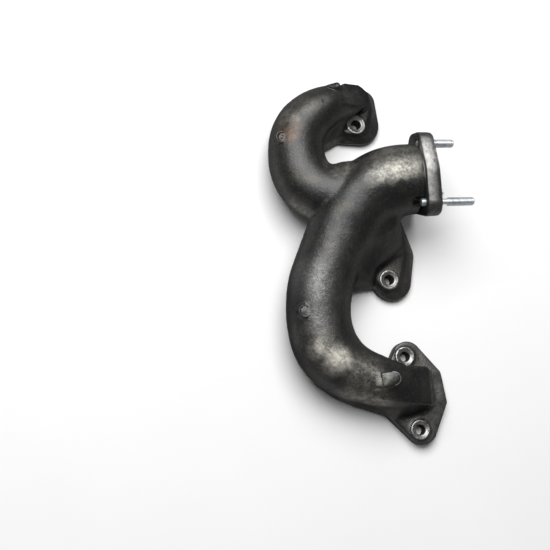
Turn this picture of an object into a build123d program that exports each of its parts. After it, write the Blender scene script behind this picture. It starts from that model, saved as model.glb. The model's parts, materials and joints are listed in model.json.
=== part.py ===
from build123d import *
import math
import os

# Exhaust manifold for one bank of a V8 engine: one grey-iron casting and three outlet studs.
# Millimetres.  Origin: centre of the middle port on the head face.
# +X runs toward the outlet, +Y along the bolt row, +Z away from the head.

# ---- bolt row on the head face -------------------------------------------------
bolt_pair_spacing = 82.55          # the two bolts of one port flange, 3.25 in
bolt_hole_d = 11.0                 # clearance for a 3/8 in bolt
seat_d = 22.0                      # machined spot face round each bolt hole
middle_bolt_y = bolt_pair_spacing / 2
lower_bolt_near_y = -129.5
lower_bolt_far_y = lower_bolt_near_y - bolt_pair_spacing
lower_port_y = (lower_bolt_near_y + lower_bolt_far_y) / 2
upper_bolt_y = 143.5
upper_port_y = 168.0

# ---- flanges on the head face --------------------------------------------------
flange_t = 13.0
facet_z = 17.0
seat_z = 18.0                      # spot faces on the middle and upper flanges
lower_seat_z = 15.0                # spot faces on the lower flange
ear_r = 16.5
flange_half_w = 36.0

# ---- outlet ---------------------------------------------------------------------
outlet_x = 57.0
outlet_y = 57.5
outlet_z = 57.0
outlet_yaw = -7.0                  # the outlet leans a little toward the lower port
outlet_bore_d = 60.0               # for a 2.5 in exhaust pipe
outlet_flange_t = 16.5
outlet_pcd = 80.0
outlet_ear_r = 13.0
first_stud_angle = 24.0            # counted from +Y toward +Z, seen from outside
stud_pocket_r = 6.2                # relief behind the flange for each stud end

# ---- studs ----------------------------------------------------------------------
stud_d = 9.525                     # 3/8 in
stud_engaged_d = 8.5               # the thread in the flange, at its pitch diameter
stud_back = 5.0                    # the near and far studs stand out behind the flange
stud_upper_back = 0.0              # the upper stud ends flush with the back of the flange
stud_upper_out = 26.0
stud_near_out = 40.0
stud_far_out = 30.0
stud_shank = 4.0                   # plain length at the outlet face

wall = 6.0                         # iron thickness round the gas passages
port_len = 38.0
port_w = 36.0
end_port_len = 34.0
end_port_w = 34.0

os.makedirs("parts", exist_ok=True)


def arm_loft(stations, skin):
    """Loft one arm: each station is x, y, z, heading, half width, half height."""
    with BuildPart() as arm:
        for x, y, z, heading, half_w, half_h in stations:
            ahead = (math.cos(math.radians(heading)), math.sin(math.radians(heading)), 0)
            with BuildSketch(Plane(origin=(x, y, z), x_dir=(0, 0, 1), z_dir=ahead)):
                Ellipse(half_h - skin, half_w - skin)
        loft()
    return arm.part


# Arms from the outlet neck to the two end ports, listed from the neck outward.
lower_arm = [
    (49, 60.6, 57, 173, 39.2, 37.5),
    (34, 60.8, 57, 175, 39.5, 38.0),
    (8, 61.0, 54, 183, 40.0, 37.0),
    (-24, 48.5, 48, 213, 38.5, 35.5),
    (-55, 13.0, 42, 235, 37.5, 34.0),
    (-83, -33.0, 37, 249, 36.5, 33.0),
    (-95, -80.0, 34, 270, 35.8, 32.0),
    (-84.5, -122.0, 33, 299, 34.5, 31.0),
    (-52, -146.5, 32, 331, 28.5, 29.5),
    (-19, -161.5, 29, 344, 25.5, 25.0),
    (-1, -166.5, 26, 348, 21.0, 18.0),
]
outlet_mouth = (58.5, 57.3, 57, 173, outlet_bore_d / 2 + wall, outlet_bore_d / 2 + wall)
upper_arm = [
    (12, 59.0, 52, 180, 35.0, 33.0),
    (-25, 57.5, 46, 175, 34.5, 32.0),
    (-58, 63.0, 39, 155, 34.5, 31.0),
    (-79, 84.0, 34, 115, 33.5, 30.5),
    (-82, 110.0, 32, 88, 32.2, 30.0),
    (-74, 137.5, 31, 60, 30.5, 29.0),
    (-49, 159.5, 31, 24, 26.5, 28.0),
    (-20, 167.0, 29, 6, 20.5, 22.5),
    (-2, 168.5, 26, 2, 17.5, 18.0),
]

# The port bodies: outlines in plan at the foot, and on a sloping roof plane.
lower_body_foot = [(-50, -140), (-22, -137), (-10, -142), (15, -145), (23, -152), (23, -186),
                   (17, -192), (-8, -196), (-26, -197), (-50, -180)]
lower_body_roof = [(-50, -143), (-24, -139), (-8, -142.5), (12, -146), (18, -152), (18, -184),
                   (13, -189), (-6, -184), (-26, -179), (-50, -173)]
upper_body_foot = [(-46, 117), (-36, 120), (-22, 125.5), (-6, 124.5), (6, 134),
                   (17, 158), (18, 177), (9, 186.5), (-16, 190), (-30, 184)]
upper_body_waist = [(-46, 125), (-36, 130), (-25, 134), (-17, 139), (1, 154),
                    (16, 160), (17, 176), (8, 185), (-16, 188), (-30, 183)]
upper_body_roof = [(-42, 158), (-36, 160), (-24, 161), (-10, 158.5), (4, 156), (13, 158),
                   (14, 173), (6, 181), (-14, 184.5), (-40, 168)]
lower_roof = Plane(origin=(0, -180, 42), x_dir=(1, 0, -0.20), z_dir=(0.20, -0.12, 1))
upper_roof = Plane(origin=(-20, 160, 51), x_dir=(1, 0, -0.30), z_dir=(0.30, 0, 1))
skirt_foot = [(-109, -140), (-87, -161), (-67, -174), (-47, -184), (-27, -194), (-10, -192),
              (-14, -170), (-60, -140), (-95, -125)]
skirt_top = [(-113, -137), (-99, -152), (-80, -162), (-60, -169.5), (-40, -174.5), (-20, -177),
             (-14, -168), (-60, -138), (-93, -120)]
plenum_foot = [(-44, -48), (-16, -48), (-14, -34), (26, -18.5), (27.5, 52), (-40, 52)]
plenum_waist = [(-72, -42), (-23, -41), (-18, -28), (20.5, -4.5), (22.5, 60), (-70, 60)]
plenum_crown = [(-76, -30), (-52, -28), (-40, -8), (10, 16), (19, 61), (-76, 61)]
plenum_steps = [(6, plenum_foot, 33, plenum_waist), (33, plenum_waist, 60, plenum_crown)]


def on_roof(outline, roof):
    """Carry plan points straight up onto a sloping plane, in that plane's own coordinates."""
    placed = []
    for x, y in outline:
        rise = -(roof.z_dir.X * (x - roof.origin.X) + roof.z_dir.Y * (y - roof.origin.Y)) / roof.z_dir.Z
        flat = roof.to_local_coords(Vector(x, y, roof.origin.Z + rise))
        placed.append((flat.X, flat.Y))
    return placed


outlet_dir = (math.cos(math.radians(outlet_yaw)), math.sin(math.radians(outlet_yaw)), 0)
outlet_side = (-math.sin(math.radians(outlet_yaw)), math.cos(math.radians(outlet_yaw)), 0)
outlet_plane = Plane(origin=(outlet_x, outlet_y, outlet_z), x_dir=outlet_side, z_dir=outlet_dir)

with BuildPart() as gas:
    add(arm_loft([outlet_mouth] + lower_arm, wall))
    add(arm_loft(upper_arm, wall))
    # the end ports turn down from the arms to the head face
    with Locations((-3.5, -168.4, 21.5)):
        Sphere(16.4)
    with Locations((-5.5, 168.6, 22)):
        Sphere(13.6)
    with BuildSketch(Plane.XY.offset(-1)):
        with Locations((0, lower_port_y)):
            RectangleRounded(end_port_w, end_port_len, 8)
    extrude(amount=21)
    with BuildSketch(Plane.XY.offset(-1)):
        with Locations((-1, upper_port_y)):
            RectangleRounded(28, 22, 7)
    extrude(amount=22)
    # the middle port goes up and leans into the neck
    with BuildSketch(Plane.XY.offset(-1)):
        RectangleRounded(port_w, port_len, 8)
    extrude(amount=9)
    with BuildSketch(Plane.XY.offset(8)):
        RectangleRounded(port_w, port_len, 8)
    with BuildSketch(Plane.XY.offset(54)):
        with Locations((-4, 42)):
            RectangleRounded(port_w, port_len, 8)
    loft()
    # pocket between the middle port and the long arm
    with BuildSketch(Plane.XY.offset(11)):
        with Locations((-30, -8)):
            RectangleRounded(18, 66, 8)
    with BuildSketch(Plane.XY.offset(42)):
        with Locations((-46, 10)):
            RectangleRounded(34, 46, 12)
    loft()

with BuildPart() as lower_lug:
    with BuildSketch(Plane.XY.offset(48)):
        with Locations((-37, -154)):
            Circle(7.6)
        with Locations((-46, -154)):
            Rectangle(18, 15.2)
    extrude(amount=19.5)
    with BuildSketch(Plane.XZ.offset(140)):
        with BuildLine():
            Polyline((-58, 60.8), (-29, 66.6), (-28, 70), (-58, 70), close=True)
        make_face()
    extrude(amount=30, mode=Mode.SUBTRACT)

with BuildPart() as upper_lug:
    with BuildSketch(Plane.XY.offset(38)):
        with Locations((-26, 180)):
            Circle(5.2)
        with Locations((-31.5, 180)):
            Rectangle(11, 10.4)
    extrude(amount=22)
    with BuildSketch(Plane.XZ.offset(-190)):
        with BuildLine():
            Polyline((-44, 46), (-19, 55.5), (-18, 62), (-44, 62), close=True)
        make_face()
    extrude(amount=24, mode=Mode.SUBTRACT)

with BuildPart() as casting:
    add(arm_loft(lower_arm, 0))
    add(arm_loft(upper_arm, 0))

    # lower port flange: two ears and a wide waist
    with BuildSketch(Plane.XY):
        with Locations((3.5, lower_bolt_near_y), (3.5, lower_bolt_far_y)):
            Circle(ear_r)
        with Locations((2, lower_port_y)):
            RectangleRounded(2 * flange_half_w, 46, 8)
        make_hull()
    extrude(amount=flange_t)
    # port body over the lower flange, its roof falling toward the free end
    with BuildSketch(Plane.XY.offset(11)):
        with BuildLine():
            Polyline(lower_body_foot, close=True)
        make_face()
    with BuildSketch(lower_roof):
        with BuildLine():
            Polyline(on_roof(lower_body_roof, lower_roof), close=True)
        make_face()
    loft(ruled=True)
    # skirt that carries the long arm's outer side down to the flange
    with BuildSketch(Plane.XY.offset(3)):
        with BuildLine():
            Polyline(skirt_foot, close=True)
        make_face()
    with BuildSketch(Plane.XY.offset(40)):
        with BuildLine():
            Polyline(skirt_top, close=True)
        make_face()
    loft(ruled=True)

    # middle flange: broad, with a sloping skirt up to the raised facets
    with BuildSketch(Plane.XY):
        with Locations((6, -middle_bolt_y), (6, middle_bolt_y)):
            Circle(23)
        with Locations((4, -14)):
            RectangleRounded(68, 20, 8)
        with Locations((1.5, 9)):
            RectangleRounded(63, 26, 8)
        make_hull()
    extrude(amount=8)
    with BuildSketch(Plane.XY.offset(8)):
        with Locations((5, -middle_bolt_y), (5, middle_bolt_y)):
            Circle(22)
        with Locations((4, -14)):
            RectangleRounded(66, 20, 8)
        with Locations((1.5, 9)):
            RectangleRounded(61, 26, 8)
        make_hull()
    with BuildSketch(Plane.XY.offset(facet_z)):
        with Locations((0, -middle_bolt_y), (0, middle_bolt_y)):
            Circle(12.5)
        RectangleRounded(50, 40, 8)
        make_hull()
    loft()
    # plenum: climbs from the middle port into the neck and fills in beside the long arm
    for foot_z, foot, crown_z, crown in plenum_steps:
        with BuildSketch(Plane.XY.offset(foot_z)):
            with BuildLine():
                Polyline(foot, close=True)
            make_face()
        with BuildSketch(Plane.XY.offset(crown_z)):
            with BuildLine():
                Polyline(crown, close=True)
            make_face()
        loft(ruled=True)

    # upper flange: one ear, skirt and port body
    with BuildSketch(Plane.XY):
        with Locations((7, upper_bolt_y + 2)):
            Circle(23.5)
        with Locations((-14, 140)):
            Circle(14)
        with Locations((16.5, 172)):
            Circle(15)
        with Locations((-4, 167)):
            RectangleRounded(46, 40, 10)
        make_hull()
    extrude(amount=8)
    with BuildSketch(Plane.XY.offset(8)):
        with Locations((5, upper_bolt_y + 2)):
            Circle(21)
        with Locations((2, 167)):
            RectangleRounded(57, 37, 10)
        make_hull()
    with BuildSketch(Plane.XY.offset(facet_z)):
        with Locations((0, upper_bolt_y)):
            Circle(12.5)
        with Locations((-2, 168)):
            RectangleRounded(48, 34, 10)
        make_hull()
    loft()
    # the body climbs from the flange to a roof that falls toward the free end
    with BuildSketch(Plane.XY.offset(4)):
        with BuildLine():
            Polyline(upper_body_foot, close=True)
        make_face()
    with BuildSketch(Plane.XY.offset(18)):
        with BuildLine():
            Polyline(upper_body_waist, close=True)
        make_face()
    loft(ruled=True)
    with BuildSketch(Plane.XY.offset(18)):
        with BuildLine():
            Polyline(upper_body_waist, close=True)
        make_face()
    with BuildSketch(upper_roof):
        with BuildLine():
            Polyline(on_roof(upper_body_roof, upper_roof), close=True)
        make_face()
    loft(ruled=True)

    # outlet flange: three rounded ears
    with BuildSketch(outlet_plane):
        with PolarLocations(outlet_pcd / 2, 3, start_angle=first_stud_angle):
            Circle(outlet_ear_r)
        with Locations((40, 0), (-34.5, 22)):
            Circle(13)
        Circle(outlet_bore_d / 2 + 8.4)
        make_hull()
    extrude(amount=-outlet_flange_t)
    # groove between the neck and the flange
    with BuildSketch(outlet_plane.offset(-outlet_flange_t)):
        Circle(44)
        Circle(34.8, mode=Mode.SUBTRACT)
    extrude(amount=-2.5, mode=Mode.SUBTRACT)
    # pockets in the neck behind the flange, one for each stud end
    with BuildSketch(outlet_plane.offset(-outlet_flange_t)):
        with PolarLocations(outlet_pcd / 2, 3, start_angle=first_stud_angle):
            Circle(stud_pocket_r)
    extrude(amount=-11, mode=Mode.SUBTRACT)

    # raised seats on the lower flange
    with BuildSketch(Plane.XY.offset(flange_t - 1)):
        with Locations((0, lower_bolt_near_y), (0, lower_bolt_far_y)):
            Circle(seat_d / 2)
    extrude(amount=lower_seat_z - flange_t + 1)
    # raised seats on the middle and upper flanges
    with BuildSketch(Plane.XY.offset(facet_z - 2)):
        with Locations((0, -middle_bolt_y), (0, middle_bolt_y), (0, upper_bolt_y)):
            Circle(seat_d / 2)
    extrude(amount=seat_z - facet_z + 2)
    # round pads on the arms
    with BuildSketch(Plane.XY.offset(46)):
        with Locations((-115.5, -66.5)):
            Circle(7.2)
    extrude(amount=16.5, taper=2)
    with BuildSketch(Plane.XY.offset(40)):
        with Locations((-100, 129)):
            Circle(6.6)
    extrude(amount=15, taper=2)
    # wedge lugs on the arms
    add(lower_lug.part)
    add(upper_lug.part)

    # gas passages
    add(gas.part, mode=Mode.SUBTRACT)

    # bolt clearance over each seat, then the bolt holes
    with BuildSketch(Plane.XY.offset(seat_z)):
        with Locations((0, -middle_bolt_y), (0, middle_bolt_y), (0, upper_bolt_y)):
            Circle(seat_d / 2 + 0.5)
    extrude(amount=7, mode=Mode.SUBTRACT)
    with BuildSketch(Plane.XY.offset(lower_seat_z)):
        with Locations((0, lower_bolt_near_y), (0, lower_bolt_far_y)):
            Circle(seat_d / 2 + 0.5)
    extrude(amount=14, mode=Mode.SUBTRACT)
    with BuildSketch(Plane.XY.offset(-1)):
        with Locations((0, lower_bolt_near_y), (0, lower_bolt_far_y)):
            Circle(bolt_hole_d / 2)
        with Locations((0, -middle_bolt_y), (0, middle_bolt_y), (0, upper_bolt_y)):
            Circle(bolt_hole_d / 2)
    extrude(amount=24, mode=Mode.SUBTRACT)
    # stud holes
    with BuildSketch(outlet_plane.offset(1)):
        with PolarLocations(outlet_pcd / 2, 3, start_angle=first_stud_angle):
            Circle(stud_engaged_d / 2)
    extrude(amount=-outlet_flange_t - 3, mode=Mode.SUBTRACT)

casting.part.label = "manifold_casting"
export_step(casting.part, "parts/manifold_casting.step")
casting_box = casting.part.bounding_box()
print("casting", round(casting.part.volume), len(casting.part.solids()), casting_box.min, casting_box.max)


def outlet_stud(angle, back, out_length):
    """A stud through the outlet flange: engaged thread and plain shank, then the outer thread."""
    across = outlet_pcd / 2 * math.cos(math.radians(angle))
    up = outlet_pcd / 2 * math.sin(math.radians(angle))
    with BuildPart() as stud:
        with BuildSketch(outlet_plane.offset(-outlet_flange_t - back)):
            with Locations((across, up)):
                Circle(stud_engaged_d / 2)
        extrude(amount=outlet_flange_t + back + stud_shank)
        with BuildSketch(outlet_plane.offset(stud_shank)):
            with Locations((across, up)):
                Circle(stud_d / 2)
        extrude(amount=out_length - stud_shank)
        chamfer(stud.edges().sort_by(Axis((0, 0, 0), outlet_dir))[-1], length=1.0)
        chamfer(stud.edges().sort_by(Axis((0, 0, 0), outlet_dir))[0], length=0.8)
    return stud.part


with BuildPart() as stud_upper:
    add(outlet_stud(first_stud_angle, stud_upper_back, stud_upper_out))
stud_upper.part.label = "outlet_stud_upper"
export_step(stud_upper.part, "parts/outlet_stud_upper.step")

with BuildPart() as stud_near:
    add(outlet_stud(first_stud_angle + 120, stud_back, stud_near_out))
stud_near.part.label = "outlet_stud_near"
export_step(stud_near.part, "parts/outlet_stud_near.step")

with BuildPart() as stud_far:
    add(outlet_stud(first_stud_angle + 240, stud_back, stud_far_out))
stud_far.part.label = "outlet_stud_far"
export_step(stud_far.part, "parts/outlet_stud_far.step")
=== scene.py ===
import json
import math

import bmesh
import bpy
import numpy as np
from mathutils import Euler, Matrix, Vector, noise


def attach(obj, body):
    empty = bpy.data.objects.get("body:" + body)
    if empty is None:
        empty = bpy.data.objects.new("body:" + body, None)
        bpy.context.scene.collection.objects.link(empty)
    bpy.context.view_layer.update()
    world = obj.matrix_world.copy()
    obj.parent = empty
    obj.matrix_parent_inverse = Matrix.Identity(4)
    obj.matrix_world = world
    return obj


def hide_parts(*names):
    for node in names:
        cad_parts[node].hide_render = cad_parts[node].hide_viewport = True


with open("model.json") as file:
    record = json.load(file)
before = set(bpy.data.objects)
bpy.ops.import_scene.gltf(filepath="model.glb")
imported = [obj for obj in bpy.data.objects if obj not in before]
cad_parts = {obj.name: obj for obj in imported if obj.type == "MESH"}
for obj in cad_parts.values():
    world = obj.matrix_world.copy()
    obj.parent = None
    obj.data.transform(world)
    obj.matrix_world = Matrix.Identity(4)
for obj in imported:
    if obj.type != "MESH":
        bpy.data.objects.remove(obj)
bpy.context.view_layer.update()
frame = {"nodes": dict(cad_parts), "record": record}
record = frame["record"]
mounts = {m["name"]: m for m in record["mounts"]}
scene = bpy.context.scene
MM = 0.001
UP = Vector((0, 0, 1))


# ---------------------------------------------------------------- places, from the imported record
def pair(mount):
    """The two bolt centres of a line pattern along Y."""
    centre = Vector(mount["pos_m"])
    half = mount["dims"]["spacing_y_mm"] * MM / 2
    return [centre + Vector((0, -half, 0)), centre + Vector((0, half, 0))]


middle_bolts = pair(mounts["middle_flange_bolts"])
lower_bolts = pair(mounts["lower_flange_bolts"])
upper_bolt = Vector(mounts["upper_flange_bolt"]["pos_m"])
upper_bolt.z = 0
hole_r = mounts["middle_flange_bolts"]["dims"]["hole_r_mm"] * MM
HIGH_SEAT = 0.018
LOW_SEAT = 0.015
seat_places = [(place, HIGH_SEAT) for place in middle_bolts + [upper_bolt]]
seat_places += [(place, LOW_SEAT) for place in lower_bolts]

# the outlet face: its centre, the way it looks and its sideways direction
outlet_dir = Vector(mounts["outlet_face"]["axis"]).normalized()
outlet_side = Vector((-outlet_dir.y, outlet_dir.x, 0))
outlet_face_point = Vector(mounts["outlet_face"]["pos_m"])
stud_row = mounts["outlet_studs"]
outlet_centre = Vector(stud_row["pos_m"])
outlet_centre -= outlet_dir * (outlet_centre - outlet_face_point).dot(outlet_dir)
stud_circle = stud_row["dims"]["pcd_mm"] * MM / 2
stud_r = stud_row["dims"]["stud_r_mm"] * MM
FIRST_EAR = 24
ears = [math.radians(FIRST_EAR + 120 * k) for k in range(3)]


# ---------------------------------------------------------------- mesh helpers
def link(name, mesh):
    obj = bpy.data.objects.new(name, mesh)
    scene.collection.objects.link(obj)
    return obj


def as_object(made, name):
    """Turn a bmesh into a linked object and free it."""
    mesh = bpy.data.meshes.new(name)
    made.to_mesh(mesh)
    made.free()
    return link(name, mesh)


def cylinder(name, start, length, radius, sides):
    """A closed upright cylinder from start."""
    made = bmesh.new()
    bmesh.ops.create_cone(made, cap_ends=True, segments=sides, radius1=radius, radius2=radius, depth=length)
    bmesh.ops.transform(made, matrix=Matrix.Translation(start + UP * (length / 2)), verts=made.verts)
    return as_object(made, name)


def take_result(obj):
    """Apply all modifiers of obj and return its final mesh."""
    graph = bpy.context.evaluated_depsgraph_get()
    mesh = bpy.data.meshes.new_from_object(obj.evaluated_get(graph))
    obj.modifiers.clear()
    obj.data = mesh
    return mesh


def cut(obj, cutters, operation="DIFFERENCE"):
    """One boolean with all the cutters joined."""
    joined = bmesh.new()
    for cutter in cutters:
        joined.from_mesh(cutter.data)
    tool = as_object(joined, "cutters")
    mod = obj.modifiers.new("cut", "BOOLEAN")
    mod.operation = operation
    mod.solver = "MANIFOLD"
    mod.object = tool
    take_result(obj)
    for cutter in cutters + [tool]:
        bpy.data.objects.remove(cutter)


def add_solids(obj, solids):
    cut(obj, solids, "UNION")


def read_points(mesh):
    flat = np.empty(len(mesh.vertices) * 3)
    mesh.vertices.foreach_get("co", flat)
    return flat.reshape(-1, 3)


def write_points(mesh, points):
    mesh.vertices.foreach_set("co", points.ravel())
    mesh.update()


def read_normals(mesh):
    flat = np.empty(len(mesh.vertices) * 3)
    mesh.vertex_normals.foreach_get("vector", flat)
    return flat.reshape(-1, 3)


def read_faces(mesh, what):
    flat = np.empty(len(mesh.polygons) * 3)
    mesh.polygons.foreach_get(what, flat)
    return flat.reshape(-1, 3)


def shade_smooth(mesh):
    mesh.polygons.foreach_set("use_smooth", np.ones(len(mesh.polygons), dtype=bool))


def step(low, high, value):
    """A smooth 0 to 1 between low and high."""
    t = np.clip((value - low) / (high - low), 0, 1)
    return t * t * (3 - 2 * t)


def turned(name, place, outline, lift, sides=72):
    """A closed turned solid about a vertical axis.

    outline is radius and height in mm, the height counted from lift."""
    made = bmesh.new()
    rings = []
    for radius, height in outline:
        z = lift + height * MM
        if radius == 0:
            rings.append([made.verts.new((place.x, place.y, z))])
            continue
        ring = []
        for side in range(sides):
            a = 2 * math.pi * side / sides
            x = place.x + radius * MM * math.cos(a)
            y = place.y + radius * MM * math.sin(a)
            ring.append(made.verts.new((x, y, z)))
        rings.append(ring)
    for low, high in zip(rings, rings[1:]):
        for side in range(sides):
            after = (side + 1) % sides
            if len(low) == 1:
                made.faces.new((low[0], high[side], high[after]))
            elif len(high) == 1:
                made.faces.new((low[side], low[after], high[0]))
            else:
                made.faces.new((low[side], low[after], high[after], high[side]))
    bmesh.ops.recalc_face_normals(made, faces=made.faces)
    return as_object(made, name)


def hull_outline(discs, inset, count=192):
    """Outline round a set of discs (x, y, radius in mm), drawn in by inset."""
    outline = []
    for k in range(count):
        a = 2 * math.pi * (k + 0.5) / count
        x, y, r = max(discs, key=lambda d: d[0] * math.cos(a) + d[1] * math.sin(a) + d[2])
        outline.append((x + (r - inset) * math.cos(a), y + (r - inset) * math.sin(a)))
    return outline


def rounded_box(x, y, width, length, radius):
    """The four corner discs of a rounded rectangle centred at x, y."""
    across, along = width / 2 - radius, length / 2 - radius
    return [(x + i * across, y + j * along, radius) for i in (-1, 1) for j in (-1, 1)]


def close_rings(made, rings):
    """Quads between neighbouring rings and a cap on each end."""
    for low, high in zip(rings, rings[1:]):
        for k in range(len(low)):
            after = (k + 1) % len(low)
            made.faces.new((low[k], low[after], high[after], high[k]))
    made.faces.new(list(reversed(rings[0])))
    made.faces.new(rings[-1])


def layered(name, place, layers):
    """A closed solid through outlines.

    Each layer is discs, inset and height in mm; the height may be a function of x."""
    made = bmesh.new()
    rings = []
    for discs, inset, height in layers:
        ring = []
        for x, y in hull_outline(discs, inset):
            z = height(x) if callable(height) else height
            ring.append(made.verts.new(place @ (Vector((x, y, z)) * MM)))
        rings.append(ring)
    close_rings(made, rings)
    bmesh.ops.remove_doubles(made, verts=made.verts, dist=0.000002)
    bmesh.ops.recalc_face_normals(made, faces=made.faces)
    return as_object(made, name)


def prism(name, place, discs, low, high):
    """A straight solid round discs, from height low to high in mm."""
    return layered(name, place, [(discs, 0, low), (discs, 0, high)])


def slope(height, rise, origin):
    """A height in mm that changes by rise for each mm of x, and is height at x = origin."""
    return lambda x: height + rise * (x - origin)


# ---------------------------------------------------------------- outlines: discs as x, y, radius in mm
HEAD = Matrix.Identity(4)
OUTLET = Matrix.Translation(outlet_centre) @ Matrix((outlet_side, UP, outlet_dir)).transposed().to_4x4()

middle_y = mounts["middle_flange_bolts"]["dims"]["spacing_y_mm"] / 2
MIDDLE_PLATE = [(6, -middle_y, 23), (6, middle_y, 23)]
MIDDLE_PLATE += rounded_box(4, -14, 68, 20, 8) + rounded_box(1.5, 9, 63, 26, 8)
MIDDLE_SKIRT = [(5, -middle_y, 22), (5, middle_y, 22)]
MIDDLE_SKIRT += rounded_box(4, -14, 66, 20, 8) + rounded_box(1.5, 9, 61, 26, 8)
MIDDLE_FACET = [(0, -middle_y, 12.5), (0, middle_y, 12.5)] + rounded_box(0, 0, 50, 40, 8)
MIDDLE_PORT = rounded_box(0, 0, 36, 38, 8)
MIDDLE_PORT_INNER = rounded_box(-1.4, 14.7, 36, 38, 8)

upper_y = upper_bolt.y / MM
UPPER_PLATE = [(7, upper_y + 2, 23.5), (-14, 140, 14), (16.5, 172, 15)] + rounded_box(-4, 167, 46, 40, 10)
UPPER_SKIRT = [(6, upper_y + 2, 22.2), (-12, 142, 12), (15.5, 171, 14.6)]
UPPER_SKIRT += rounded_box(-4, 167, 44, 37, 10)
UPPER_FACET = [(0, upper_y, 12.5), (-8, 142, 8.5)] + rounded_box(-3, 168, 45, 34, 10)
UPPER_PORT = rounded_box(-1, 168, 28, 22, 7)
UPPER_ROOF = [
    (-47, 163, 1),
    (-36, 162, 1),
    (-10, 160, 1),
    (3, 158.5, 2),
    (10, 161, 3.5),
    (10, 170, 4),
    (2, 177.5, 4),
    (-14, 179.5, 4),
]

lower_y = mounts["lower_flange_bolts"]["pos_m"][1] / MM
lower_half = mounts["lower_flange_bolts"]["dims"]["spacing_y_mm"] / 2
LOWER_PLATE = [(3.5, lower_y - lower_half, 16.5), (3.5, lower_y + lower_half, 16.5)]
LOWER_PLATE += rounded_box(2, lower_y, 72, 46, 8)
LOWER_PORT = rounded_box(0, lower_y, 34, 34, 8)

reach = stud_circle / MM
ear_centres = [(reach * math.cos(a), reach * math.sin(a)) for a in ears]
EAR_R = 13
OUTLET_PLATE = [(x, y, EAR_R) for x, y in ear_centres]
OUTLET_PLATE += [(40, 0, EAR_R), (-34.5, 22, EAR_R), (0, 0, 38.4)]

LOWER_LUG = [(-35.5, -153.8, 7.5), (-45.5, -148.3, 2), (-45.5, -159.2, 2)]
UPPER_LUG = [(-26, 180, 4.6), (-34, 182.0, 2.4)]
LUG_SLOPE = 0.2
LUG_ORIGIN = -58
LUG_TOP = 61.9

# turned profiles as radius and height in mm, the height counted from the seat or the pad's top
BOSS = [(0, -6), (11.6, -6), (11.1, -0.5), (10.6, 0), (0, 0)]
SEAT = [(0, -24), (5.5, -24), (5.5, -1.7), (6.5, -0.8), (8.6, -0.8)]
SEAT += [(9.1, 0), (10.7, 0.02), (12.0, 0.6), (12.2, 6.0), (0, 6.0)]
PAD = [(0, -9), (7.5, -9), (7.1, -0.8), (6.7, 0), (5.6, 0)]
PAD += [(4.8, -1.0), (2.6, -1.0), (2.1, -0.5), (0, -0.5)]

PROUD = -0.2  # the crisp plates stand out this much round the relaxed ones
FLANGE_T = 16.5  # thickness of the outlet flange
HEAD_EXTRA = 0.003  # the head side runs this much long while the surface is relaxed


# ---------------------------------------------------------------- the casting's surface
def plug_holes(obj):
    """Fill the bolt holes, so that they can be cut sharp again after the surface is relaxed."""
    overlap = 0.0012
    gap = 0.0004
    body = bmesh.new()
    body.from_mesh(obj.data)
    bmesh.ops.remove_doubles(body, verts=body.verts, dist=0.00002)
    for place, seat in seat_places:
        plug = cylinder("plug", place + UP * gap, seat - 2 * gap, hole_r + overlap, 32)
        body.from_mesh(plug.data)
        bpy.data.objects.remove(plug)
    for vert in body.verts:
        if vert.co.z < 0.00005:
            vert.co.z = -HEAD_EXTRA
    body.to_mesh(obj.data)
    body.free()


def relax(mesh, spacing):
    """Relax concave corners into cast fillets; convex edges only lose their sharpness."""
    fillet_radius = 0.008
    fillet = spacing * spacing / (2 * fillet_radius)
    points = read_points(mesh)
    edges = np.empty(len(mesh.edges) * 2, dtype=np.int64)
    mesh.edges.foreach_get("vertices", edges)
    edges = edges.reshape(-1, 2)
    count = np.bincount(edges.ravel(), minlength=len(points)).astype(float)[:, None]

    def average(values):
        out = np.zeros_like(values)
        for axis in range(values.shape[1]):
            out[:, axis] = np.bincount(edges[:, 0], values[edges[:, 1], axis], len(values))
            out[:, axis] += np.bincount(edges[:, 1], values[edges[:, 0], axis], len(values))
        return out / count

    # the plenum beside the long arm is smooth all over
    soft = step(-0.066, -0.056, points[:, 0]) * step(0.034, 0.020, points[:, 0])
    soft *= step(-0.062, -0.050, points[:, 1])
    soft *= step(0.060, 0.035, points[:, 1]) * step(0.016, 0.026, points[:, 2]) * 0.8
    for turn in range(40):
        pull = average(points) - points
        if turn % 4 == 0:
            write_points(mesh, points)
            inward = (pull * read_normals(mesh)).sum(1)
            hollow = average(average(step(fillet * 0.4, fillet * 1.6, inward)[:, None]))[:, 0]
            amount = 0.02 + 0.9 * np.maximum(hollow, soft)
        points = points + pull * amount[:, None] * 0.6
    for turn in range(3):
        points = points + (average(points) - points) * 0.4
    return points


def roughen(mesh, points):
    """Write the relaxed points with the slight unevenness of a sand casting."""
    write_points(mesh, points)
    lift = np.zeros(len(points))
    for i, p in enumerate(points):
        v = Vector(p)
        lift[i] = 0.00032 * noise.noise(v * 38) + 0.00016 * noise.noise(v * 120)
        lift[i] += 0.00009 * noise.noise(v * 300)
    write_points(mesh, points + read_normals(mesh) * lift[:, None])


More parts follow.
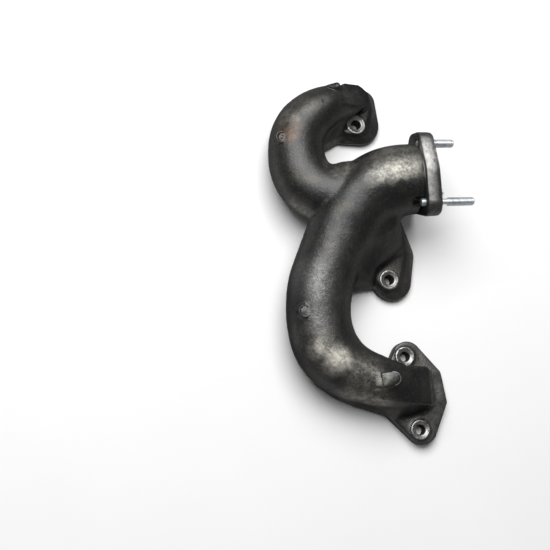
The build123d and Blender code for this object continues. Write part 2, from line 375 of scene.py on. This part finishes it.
def add_plates(obj):
    """Crisp flange plates over the relaxed ones, their ports left open."""

    def foot(plate):
        return [(plate, 0.5, 0), (plate, PROUD, 0.7)]

    def skirted(plate, skirt, facet):
        layers = foot(plate) + [(plate, PROUD, 7.4), (skirt, PROUD, 8.2)]
        return layered("plate", HEAD, layers + [(facet, 0.3, 16.9), (facet, 1.2, 17.15)])

    lower = foot(LOWER_PLATE)
    lower += [(LOWER_PLATE, PROUD, 11.9), (LOWER_PLATE, 0.2, 12.8), (LOWER_PLATE, 1.2, 13.15)]
    plates = [
        skirted(MIDDLE_PLATE, MIDDLE_SKIRT, MIDDLE_FACET),
        skirted(UPPER_PLATE, UPPER_SKIRT, UPPER_FACET),
        layered("plate", HEAD, lower),
    ]
    ports = [
        layered("port", HEAD, [(MIDDLE_PORT, 0, -3), (MIDDLE_PORT, 0, 8), (MIDDLE_PORT_INNER, 0, 24)]),
        prism("port", HEAD, UPPER_PORT, -3, 20.5),
        prism("port", HEAD, LOWER_PORT, -3, 19.5),
    ]
    add_solids(obj, plates)
    cut(obj, ports)


def add_outlet_flange(obj):
    """The neck is cut square, then come a root ring, the plate, the bore and the stud holes."""
    cut(obj, [prism("square", OUTLET, [(0, 0, 58)], -19.1, 6)])
    add_solids(obj, [prism("root", OUTLET, [(0, 0, 34.6)], -22.5, -14.5)])
    drafted = [(1.0, -FLANGE_T), (0, 1 - FLANGE_T), (0.2, -5), (0.7, -1.6), (2.0, 0)]
    add_solids(obj, [layered("plate", OUTLET, [(OUTLET_PLATE, inset, height) for inset, height in drafted])])
    bore = [([(0, 0, 30)], 0, -24), ([(0, 0, 30)], 0, -1), ([(0, 0, 32)], 0, 1)]
    cut(obj, [layered("bore", OUTLET, bore)])
    cut(obj, [prism("pocket", OUTLET, [(x, y, 6.2)], -27.5, -FLANGE_T) for x, y in ear_centres])
    cut(obj, [prism("hole", OUTLET, [(x, y, 4.8)], -20, 2) for x, y in ear_centres])


def add_details(obj):
    """The roof of the upper port body, the pads, the lugs and the bolt seats."""
    # a flat roof with a sharp lower edge
    rim = slope(50.7, -0.29, -20)
    top = slope(51.2, -0.29, -20)
    roof = [(UPPER_ROOF, 0, 34), (UPPER_ROOF, 0, rim), (UPPER_ROOF, 0.6, top)]
    add_solids(obj, [layered("roof", HEAD, roof)])
    # round pads on the arms
    lower_pad = turned("pad", Vector((-0.1155, -0.0665, 0)), PAD, 0.0628)
    upper_pad = turned("pad", Vector((-0.1, 0.129, 0)), PAD, 0.0558)
    add_solids(obj, [lower_pad, upper_pad])
    # D-shaped lugs on the arms, with a small bevel
    rim = slope(61.2, LUG_SLOPE, LUG_ORIGIN)
    top = slope(LUG_TOP, LUG_SLOPE, LUG_ORIGIN)
    lug = [(LOWER_LUG, -0.3, 46), (LOWER_LUG, -0.3, rim), (LOWER_LUG, 0.7, top)]
    add_solids(obj, [layered("lug", HEAD, lug)])
    rim = slope(50.0, 0.30, -30)
    top = slope(53.5, 0.42, -30)
    lug = [(UPPER_LUG, 0, 36), (UPPER_LUG, 0, rim), (UPPER_LUG, 0.8, top)]
    add_solids(obj, [layered("lug", HEAD, lug)])
    # bolt bosses with a machined rim, then the seats and holes
    add_solids(obj, [turned("boss", place, BOSS, seat) for place, seat in seat_places])
    cut(obj, [turned("seat", place, SEAT, seat) for place, seat in seat_places])


def build_casting():
    obj = link("iron_casting", frame["nodes"]["manifold_casting"].data.copy())
    plug_holes(obj)
    spacing = 0.0019
    mod = obj.modifiers.new("skin", "REMESH")
    mod.mode = "VOXEL"
    mod.voxel_size = spacing
    mesh = take_result(obj)
    roughen(mesh, relax(mesh, spacing))
    # the extra length on the head side is cut off flat
    cut(obj, [prism("below", HEAD, [(-30, -20, 300)], -12, 0)])
    add_plates(obj)
    add_outlet_flange(obj)
    add_details(obj)
    whole = bmesh.new()
    whole.from_mesh(obj.data)
    bmesh.ops.triangulate(whole, faces=[f for f in whole.faces if len(f.verts) > 4])
    whole.to_mesh(obj.data)
    whole.free()
    return obj


def new_stud(name, angle, inner, outer, relief):
    """A threaded stud with a domed inner end and a chamfered outer end.

    inner and outer are its lengths behind and before the outlet face, and relief is the plain
    length next to the face."""
    pitch = 0.0254 / 16
    rows_per_turn = 8
    sides = 36
    depth = 0.0013
    dome = 0.0022
    chamfer = 0.0014
    centre = outlet_centre + outlet_side * (stud_circle * math.cos(angle))
    centre += UP * (stud_circle * math.sin(angle))
    rows = int((inner + outer) / (pitch / rows_per_turn))
    made = bmesh.new()
    rings = []
    for row in range(rows + 1):
        x = -inner + (inner + outer) * row / rows
        ring = []
        for side in range(sides):
            a = 2 * math.pi * side / sides
            phase = (x / pitch - side / sides) % 1.0
            tooth = min(1.0, max(0.0, (0.5 - abs(phase - 0.5)) * 2.6 - 0.15))
            r = stud_r - depth * (1 - tooth)
            if 0 < x < relief:
                r = stud_r - depth * 0.85
            r = min(r, stud_r - chamfer + (outer - x) * 0.8)
            back = x + inner
            if back < dome:
                r = min(r, stud_r * math.sqrt(max(0.02, 1 - (1 - back / dome) ** 2 * 0.55)))
            on_axis = centre + outlet_dir * x
            across, above = outlet_side * (r * math.cos(a)), UP * (r * math.sin(a))
            ring.append(made.verts.new(on_axis + across + above))
        rings.append(ring)
    close_rings(made, rings)
    bmesh.ops.recalc_face_normals(made, faces=made.faces)
    return as_object(made, name)


# ---------------------------------------------------------------- shader helpers
def new_material(name, **inputs):
    """A material with one principled shader; returns it, the shader and the object coordinates."""
    mat = bpy.data.materials.new(name)
    mat.use_nodes = True
    mat.node_tree.nodes.clear()
    out = node(mat, "ShaderNodeOutputMaterial")
    shader = node(mat, "ShaderNodeBsdfPrincipled", **inputs)
    join(mat, shader.outputs[0], out.inputs[0])
    return mat, shader, node(mat, "ShaderNodeTexCoord").outputs["Object"]


def node(mat, kind, **inputs):
    made = mat.node_tree.nodes.new(kind)
    for key, value in inputs.items():
        made.inputs[key.replace("_", " ")].default_value = value
    return made


def join(mat, source, target):
    mat.node_tree.links.new(source, target)


def ramp(mat, source, stops):
    made = node(mat, "ShaderNodeValToRGB")
    made.color_ramp.elements[0].position = stops[0][0]
    made.color_ramp.elements[0].color = stops[0][1]
    made.color_ramp.elements[1].position = stops[-1][0]
    made.color_ramp.elements[1].color = stops[-1][1]
    for place, colour in stops[1:-1]:
        made.color_ramp.elements.new(place).color = colour
    join(mat, source, made.inputs["Fac"])
    return made.outputs["Color"]


def noise_at(mat, coords, scale, detail=6.0, rough=0.55, twist=0.0):
    made = node(mat, "ShaderNodeTexNoise", Scale=scale, Detail=detail, Roughness=rough, Distortion=twist)
    join(mat, coords, made.inputs["Vector"])
    return made.outputs["Fac"]


def feed(mat, socket, value):
    """Set a socket to a plain value, or link it."""
    if isinstance(value, (int, float, tuple)):
        socket.default_value = value
    else:
        join(mat, value, socket)


def mix(mat, factor, a, b):
    made = node(mat, "ShaderNodeMix")
    made.data_type = "RGBA"
    for socket, value in ((made.inputs[0], factor), (made.inputs[6], a), (made.inputs[7], b)):
        feed(mat, socket, value)
    return made.outputs[2]


def math_node(mat, kind, a, b):
    made = node(mat, "ShaderNodeMath")
    made.operation = kind
    feed(mat, made.inputs[0], a)
    feed(mat, made.inputs[1], b)
    return made.outputs[0]


def times(mat, a, b):
    return math_node(mat, "MULTIPLY", a, b)


def greater(mat, a, b):
    return math_node(mat, "MAXIMUM", a, b)


def fade(mat, value, low, high):
    """0 at low, 1 at high."""
    span = node(mat, "ShaderNodeMapRange", From_Min=low, From_Max=high)
    join(mat, value, span.inputs["Value"])
    return span.outputs["Result"]


def spot(mat, coords, centre, radius, softness):
    """1 inside a ball round centre, fading to 0."""
    away = node(mat, "ShaderNodeVectorMath")
    away.operation = "DISTANCE"
    join(mat, coords, away.inputs[0])
    away.inputs[1].default_value = centre
    return fade(mat, away.outputs["Value"], radius, radius * (1 - softness))


def add_bump(mat, shader, height, strength, distance):
    bump = node(mat, "ShaderNodeBump", Strength=strength, Distance=distance)
    join(mat, height, bump.inputs["Height"])
    join(mat, bump.outputs["Normal"], shader.inputs["Normal"])


def grey(v):
    return (v, v, v, 1)


# ---------------------------------------------------------------- materials
# the larger rubbed places and painted highlights on the casting: centre, radius and strength
RUBBED_AND_HIGHLIT = (
    ((-0.070, 0.163, 0.054), 0.017, 0.2),
    ((-0.118, -0.092, 0.050), 0.020, 0.5),
    ((-0.106, -0.107, 0.056), 0.022, 0.8),
    ((-0.093, -0.122, 0.058), 0.023, 1.0),
    # painted highlight on the upper edge of the neck
    ((-0.040, 0.086, 0.058), 0.024, 1.0),
    ((-0.099, 0.043, 0.045), 0.024, 0.45),
    # painted light on a side of the lower arm that faces away from the lamp
    ((-0.083, -0.172, 0.036), 0.026, 0.8),
    ((-0.055, -0.170, 0.044), 0.026, 0.8),
    ((-0.010, 0.163, 0.049), 0.022, 0.20),
    ((-0.064, -0.146, 0.059), 0.030, 0.9),
    # painted highlights along the crest of the long arm
    ((-0.082, -0.052, 0.071), 0.030, 0.12),
    ((-0.060, -0.010, 0.078), 0.028, 0.16),
)


def cast_iron_material():
    mat, shader, coords = new_material("cast_iron_skin", Metallic=0.9)
    shader.inputs["Specular Tint"].default_value = (0.35, 0.35, 0.35, 1)

    cloud = noise_at(mat, coords, 14, 5, 0.6)
    blotch = noise_at(mat, coords, 45, 6, 0.65, 0.6)
    grain = noise_at(mat, coords, 420, 4, 0.7)
    fine = noise_at(mat, coords, 1100, 3, 0.6)

    dark, middle, light = (0.036, 0.037, 0.038, 1), (0.058, 0.058, 0.057, 1), (0.080, 0.078, 0.071, 1)
    base = ramp(mat, cloud, [(0.3, dark), (0.55, middle), (0.75, light)])
    olive = ramp(mat, blotch, [(0.50, grey(0)), (0.72, grey(1))])
    base = mix(mat, times(mat, olive, 0.40), base, (0.085, 0.080, 0.062, 1))
    speck = ramp(mat, grain, [(0.52, grey(0)), (0.70, grey(1))])
    base = mix(mat, times(mat, speck, 0.35), base, (0.16, 0.156, 0.15, 1))

    # the flange plates and the outlet flange are a little paler, and its crown is the palest
    parts = node(mat, "ShaderNodeSeparateXYZ")
    join(mat, coords, parts.inputs[0])
    plate = fade(mat, parts.outputs["Z"], 0.0145, 0.0130)
    mouth = node(mat, "ShaderNodeVectorMath")
    mouth.operation = "DOT_PRODUCT"
    join(mat, coords, mouth.inputs[0])
    mouth.inputs[1].default_value = outlet_dir
    face = outlet_centre.dot(outlet_dir)
    flange = fade(mat, mouth.outputs["Value"], face - 0.0180, face - FLANGE_T * MM)
    ear_shade = times(mat, flange, fade(mat, parts.outputs["Y"], 0.122, 0.084))
    pale = greater(mat, times(mat, plate, 0.45), ear_shade)
    wear = ramp(mat, noise_at(mat, coords, 170, 8, 0.78), [(0.38, grey(0.25)), (0.62, grey(1))])
    base = mix(mat, times(mat, times(mat, pale, wear), 0.8), base, (0.180, 0.178, 0.172, 1))
    crown = times(mat, flange, spot(mat, coords, (0.062, 0.078, 0.090), 0.027, 0.8))
    base = mix(mat, times(mat, crown, wear), base, (0.66, 0.655, 0.64, 1))

    # rust bloom on the short arm
    rust_noise = ramp(mat, blotch, [(0.38, grey(0)), (0.60, grey(1))])
    rust = times(mat, spot(mat, coords, (-0.092, 0.136, 0.055), 0.020, 0.8), rust_noise)
    base = mix(mat, times(mat, rust, 0.7), base, (0.130, 0.088, 0.066, 1))

    # rubbed patches and painted highlights, with ragged edges
    scratch = noise_at(mat, coords, 110, 10, 0.78, 0.25)
    flecks = ramp(mat, noise_at(mat, coords, 330, 5, 0.72, 0.4), [(0.42, grey(0.45)), (0.58, grey(1))])
    rub_and_highlight_noise = times(mat, flecks, ramp(mat, scratch, [(0.38, grey(0.15)), (0.58, grey(1))]))
    rub_and_highlight = times(mat, spot(mat, coords, (-0.086, 0.151, 0.052), 0.015, 0.7), 0.55)
    for centre, radius, strength in RUBBED_AND_HIGHLIT:
        rub_and_highlight = greater(mat, rub_and_highlight, times(mat, spot(mat, coords, centre, radius, 0.6), strength))
    # painted highlight on the lit upper half of the neck, which ends in a ragged line along its lower side
    edge = math_node(mat, "ADD", parts.outputs["Y"], times(mat, noise_at(mat, coords, 60, 8, 0.7), 0.022))
    neck_highlight = spot(mat, coords, (0.012, 0.072, 0.090), 0.044, 0.75)
    neck_highlight = times(mat, times(mat, neck_highlight, fade(mat, edge, 0.0605, 0.0640)), 0.85)
    rub_and_highlight = times(mat, greater(mat, rub_and_highlight, neck_highlight), rub_and_highlight_noise)
    base = mix(mat, times(mat, rub_and_highlight, 0.85), base, (0.40, 0.385, 0.335, 1))
    cream = spot(mat, coords, (-0.091, -0.124, 0.060), 0.019, 0.7)
    cream = greater(mat, cream, spot(mat, coords, (-0.108, -0.108, 0.056), 0.015, 0.7))
    cream = times(mat, cream, ramp(mat, scratch, [(0.36, grey(0.1)), (0.60, grey(1))]))
    base = mix(mat, times(mat, cream, 0.9), base, (0.78, 0.75, 0.67, 1))

    # painted highlight: the crest of the long arm is made paler, with finer, neutral flecks
    crest_highlight = spot(mat, coords, (-0.098, -0.040, 0.062), 0.036, 0.8)
    crest_highlight = greater(mat, crest_highlight, spot(mat, coords, (-0.106, -0.080, 0.055), 0.030, 0.8))
    base = mix(mat, times(mat, times(mat, crest_highlight, flecks), 0.55), base, (0.25, 0.25, 0.248, 1))

    # painted shade: the outside of the long arm and the corner under the neck are darkened
    painted_shade = fade(mat, parts.outputs["X"], -0.108, -0.124)
    painted_shade = times(mat, painted_shade, fade(mat, parts.outputs["Y"], 0.020, -0.010))
    painted_shade = greater(mat, painted_shade, spot(mat, coords, (-0.022, -0.030, 0.050), 0.030, 0.7))
    base = mix(mat, times(mat, painted_shade, 0.65), base, (0.018, 0.018, 0.019, 1))
    join(mat, base, shader.inputs["Base Color"])

    gloss = [(0.3, grey(0.34)), (0.7, grey(0.50))]
    join(mat, mix(mat, 0.5, ramp(mat, grain, gloss), ramp(mat, cloud, gloss)), shader.inputs["Roughness"])

    pits = node(mat, "ShaderNodeTexVoronoi", Scale=520)
    join(mat, coords, pits.inputs["Vector"])
    height = math_node(mat, "ADD", times(mat, grain, 0.7), times(mat, fine, 0.35))
    height = math_node(mat, "ADD", height, times(mat, pits.outputs["Distance"], 0.25))
    add_bump(mat, shader, height, 0.7, 0.00042)
    return mat


def machined_material():
    mat, shader, coords = new_material("machined_iron", Metallic=0.9)
    streak = noise_at(mat, coords, 260, 5, 0.7)
    smudge = ramp(mat, noise_at(mat, coords, 60, 4, 0.6), [(0.5, grey(0)), (0.65, grey(1))])
    base = ramp(mat, streak, [(0.38, (0.20, 0.198, 0.19, 1)), (0.64, (0.44, 0.435, 0.42, 1))])
    base = mix(mat, times(mat, smudge, 0.6), base, (0.12, 0.115, 0.11, 1))
    join(mat, base, shader.inputs["Base Color"])
    join(mat, ramp(mat, streak, [(0.3, grey(0.30)), (0.7, grey(0.46))]), shader.inputs["Roughness"])
    add_bump(mat, shader, streak, 0.25, 0.0002)
    return mat


# painted shade: the walls of the bolt holes get a near-black colour
def bolt_hole_shade_material():
    mat, shader, coords = new_material("bolt_hole_painted_shade", Metallic=0.3)
    hole_mottle = noise_at(mat, coords, 90, 6, 0.65)
    base = ramp(mat, hole_mottle, [(0.35, (0.012, 0.012, 0.012, 1)), (0.7, (0.035, 0.031, 0.027, 1))])
    join(mat, base, shader.inputs["Base Color"])
    join(mat, ramp(mat, hole_mottle, [(0.3, grey(0.7)), (0.7, grey(0.9))]), shader.inputs["Roughness"])
    add_bump(mat, shader, noise_at(mat, coords, 350, 5, 0.7), 0.5, 0.0006)
    return mat


def zinc_material():
    mat, shader, coords = new_material("zinc_plate", Metallic=1.0)
    shader.inputs["Specular Tint"].default_value = (0.30, 0.32, 0.34, 1)
    cloud = noise_at(mat, coords, 130, 4, 0.6)
    dull, bright, worn = (0.68, 0.71, 0.74, 1), (0.84, 0.86, 0.88, 1), (0.76, 0.78, 0.79, 1)
    join(mat, ramp(mat, cloud, [(0.3, dull), (0.6, bright), (0.8, worn)]), shader.inputs["Base Color"])
    join(mat, ramp(mat, cloud, [(0.3, grey(0.36)), (0.7, grey(0.48))]), shader.inputs["Roughness"])
    add_bump(mat, shader, noise_at(mat, coords, 900, 3, 0.6), 0.15, 0.0001)
    return mat


def floor_material():
    mat, shader, coords = new_material("studio_floor", Roughness=0.85)
    base = ramp(mat, noise_at(mat, coords, 6, 2, 0.5), [(0.3, grey(0.90)), (0.7, grey(0.92))])
    join(mat, base, shader.inputs["Base Color"])
    return mat


# ---------------------------------------------------------------- pieces
CAST, MACHINED, HOLE_SHADE = 0, 1, 2


def face_materials(mesh):
    """Which material each face of the casting has."""
    centres = read_faces(mesh, "center")
    facing = read_faces(mesh, "normal")
    kind = np.full(len(mesh.polygons), CAST, dtype=np.int32)
    x, y, z = centres.T
    upward = facing[:, 2]
    # the head face and the outlet face
    kind[(z < 0.0003) & (upward < -0.9)] = MACHINED
    off_face = np.abs((centres - np.array(outlet_centre)) @ np.array(outlet_dir))
    kind[(off_face < 0.0005) & (facing @ np.array(outlet_dir) > 0.9)] = MACHINED
    # the bolt seats, their countersinks, and the holes, whose walls get painted shade
    for place, seat in seat_places:
        radial = np.hypot(x - place.x, y - place.y)
        kind[(radial < 0.0110) & (np.abs(z - seat) < 0.00082) & (upward > 0.3)] = MACHINED
        kind[(radial < 0.0072) & (np.abs(z - seat) < 0.0018) & (upward > 0.3)] = MACHINED
        kind[(radial < hole_r + 0.0002) & (z < seat) & (np.abs(upward) < 0.3)] = HOLE_SHADE
    # painted highlight: the rim round the head of the long arm's lug, on its right-hand side, gets the
    # bright machined finish
    lug_x, lug_y, lug_r = LOWER_LUG[0]
    top = slope(LUG_TOP, LUG_SLOPE, LUG_ORIGIN)(x / MM)
    away = np.hypot(x / MM - lug_x, y / MM - lug_y)
    rim = (away < lug_r + 0.7) & (away > lug_r - 0.6) & (x / MM > -37)
    kind[rim & (z / MM > top - 0.9)] = MACHINED
    return kind


casting = build_casting()
casting.data.materials.clear()
for made in (cast_iron_material(), machined_material(), bolt_hole_shade_material()):
    casting.data.materials.append(made)
casting.data.polygons.foreach_set("material_index", face_materials(casting.data))
shade_smooth(casting.data)
casting.data.update()
bpy.context.view_layer.objects.active = casting
casting.select_set(True)
bpy.ops.object.shade_auto_smooth(angle=math.radians(38))
take_result(casting)
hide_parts("manifold_casting")
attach(casting, "root")

# each stud's length behind the flange and before its face, and its plain length next to the face
zinc = zinc_material()
for name, cad_node, angle, back, outer, relief in (
    ("stud_upper", "outlet_stud_upper", ears[0], 0.0, 0.026, 0.003),
    ("stud_near", "outlet_stud_near", ears[1], 0.005, 0.040, 0.009),
    ("stud_far", "outlet_stud_far", ears[2], 0.005, 0.030, 0.004),
):
    stud = new_stud(name, angle, FLANGE_T * MM + back, outer, relief)
    stud.data.materials.append(zinc)
    shade_smooth(stud.data)
    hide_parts(cad_node)
    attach(stud, "root")

# ---------------------------------------------------------------- camera, floor and light
camera_data = bpy.data.cameras.new("camera")
camera_data.lens = 72.0
camera_data.sensor_width = 36.0
camera_data.clip_start = 0.05
camera = bpy.data.objects.new("camera", camera_data)
scene.collection.objects.link(camera)
camera.location = (-0.4112, -0.2124, 1.1835)
camera_turn = [math.radians(degrees) for degrees in (11.778, -11.537, -11.299)]
camera.rotation_euler = Euler(camera_turn, "XYZ")
scene.camera = camera

bpy.ops.mesh.primitive_plane_add(size=8, location=(0, 0, -0.0002))
floor = bpy.context.object
floor.name = "floor"
floor.data.materials.append(floor_material())

# one large soft light above and behind the part
light_data = bpy.data.lights.new("key", "AREA")
light_data.energy = 56
light_data.shape = "RECTANGLE"
light_data.size = 1.8
light_data.size_y = 1.5
light = bpy.data.objects.new("key", light_data)
light.location = (-0.22, 0.88, 1.8)
light_aim = Vector((0, -0.05, 0))
light.rotation_euler = (light_aim - light.location).to_track_quat("-Z", "Y").to_euler()
scene.collection.objects.link(light)

world = bpy.data.worlds.new("world")
world.use_nodes = True
world.node_tree.nodes["Background"].inputs[0].default_value = (1, 1, 1, 1)
world.node_tree.nodes["Background"].inputs[1].default_value = 0.14
scene.world = world
scene.view_settings.view_transform = "Standard"
